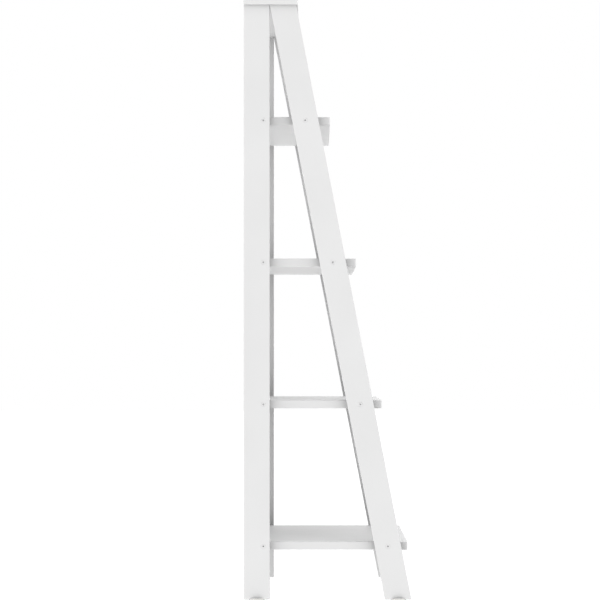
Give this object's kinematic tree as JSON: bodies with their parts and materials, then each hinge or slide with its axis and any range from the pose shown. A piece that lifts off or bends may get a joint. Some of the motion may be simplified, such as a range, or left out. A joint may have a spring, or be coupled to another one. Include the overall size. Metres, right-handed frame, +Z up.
{
  "type": "ladder shelf",
  "caption": "Free-standing ladder shelf: upright rear legs and leaning front legs carry boards that grow deeper downward, under a flat cap board.",
  "frame": {"origin": "on the floor, under the middle of the bounding box", "axes": "+Z up; -Y is the front, the side the front legs lean out to; +Y is the wall side; +X is to the right of a person facing the front"},
  "size_m": [0.627, 0.389, 1.397],
  "materials": {
    "painted_board": "satin white lacquer on medium-density fibreboard",
    "coated_bolt": "white coated steel, satin",
    "zinc_steel": "bright zinc plate",
    "zinc_alloy": "die-cast zinc, as cast",
    "beech": "turned, unfinished",
    "moulded_glide": "moulded polyethylene",
    "coated_bracket": "white powder coat"
  },
  "bodies": {
    "root": {"cap_board": "painted_board", "left_rear_leg": "painted_board", "right_rear_leg": "painted_board", "left_front_leg": "painted_board", "right_front_leg": "painted_board", "top_shelf": "painted_board", "upper_shelf": "painted_board", "lower_shelf": "painted_board", "bottom_shelf": "painted_board", "top_shelf_bolts": "coated_bolt", "upper_shelf_bolts": "coated_bolt", "lower_shelf_bolts": "coated_bolt", "bottom_shelf_bolts": "coated_bolt", "top_shelf_barrel_nuts": "zinc_steel", "upper_shelf_barrel_nuts": "zinc_steel", "lower_shelf_barrel_nuts": "zinc_steel", "bottom_shelf_barrel_nuts": "zinc_steel", "top_shelf_dowels": "beech", "upper_shelf_dowels": "beech", "lower_shelf_dowels": "beech", "bottom_shelf_dowels": "beech", "cap_cam_bolts": "zinc_steel", "cap_cam_locks": "zinc_alloy", "cap_dowels": "beech", "left_rear_glide": "moulded_glide", "right_rear_glide": "moulded_glide", "left_front_glide": "moulded_glide", "right_front_glide": "moulded_glide", "glide_nails": "zinc_steel", "wall_bracket": "coated_bracket", "bracket_screws": "zinc_steel"}
  },
  "joints": []
}
